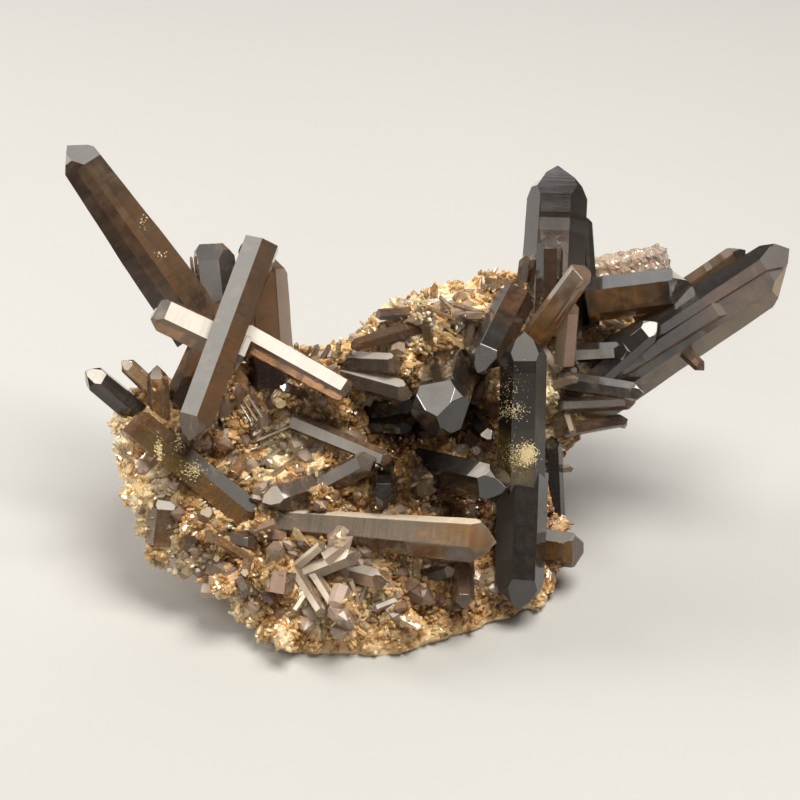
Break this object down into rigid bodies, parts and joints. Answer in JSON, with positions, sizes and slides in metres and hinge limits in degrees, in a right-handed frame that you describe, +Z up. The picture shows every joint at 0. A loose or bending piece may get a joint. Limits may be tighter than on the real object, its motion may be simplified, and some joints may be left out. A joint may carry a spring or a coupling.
{
  "type": "mineral specimen, morion quartz cluster",
  "caption": "Cluster of smoky to nearly black quartz crystals standing on and crossing over a honey-coloured druse matrix, a display specimen with a flat foot.",
  "frame": {"origin": "middle of the bounding box, at the height of the flat foot", "axes": "+Z up from the flat foot; +X to the right of a viewer who faces the crystals, along the specimen's length; -Y towards that viewer"},
  "size_m": [0.2046, 0.1156, 0.1086],
  "materials": {
    "crust": "rough sparkling druse",
    "morion": "polished natural crystal faces",
    "smoky": "polished natural crystal faces",
    "honey": "satin natural crystal faces",
    "pale": "satin natural crystal faces"
  },
  "bodies": {
    "root": {"matrix": "crust", "crossed_crystals_left": "smoky", "crystal_left_edge": "morion", "crystals_left_small": "honey", "crystal_lower_left": "honey", "crystal_front_long": "pale", "crystal_front_upper": "morion", "crystal_pointing_out": "morion", "crystal_centre_grey": "morion", "crystal_centre_slanting": "honey", "crystals_upright_dark": "morion", "crystal_nub_dark": "morion", "crystals_middle_left": "smoky", "crystals_upper_left": "smoky", "crystals_in_cleft": "morion", "crystal_cleft_right": "morion", "crystal_below_dark": "smoky", "crystals_top_right": "morion", "crystal_back_cream": "pale", "crystals_right": "morion", "crystal_right_low": "pale", "crystal_pink": "honey", "spike_right_upper": "smoky", "spike_right_lower": "smoky", "crystal_low_right": "smoky", "crystal_behind_upright": "morion", "block_pale": "pale", "blades_low_white": "pale", "crystal_low_pink": "honey", "needle_low": "pale"}
  },
  "joints": []
}
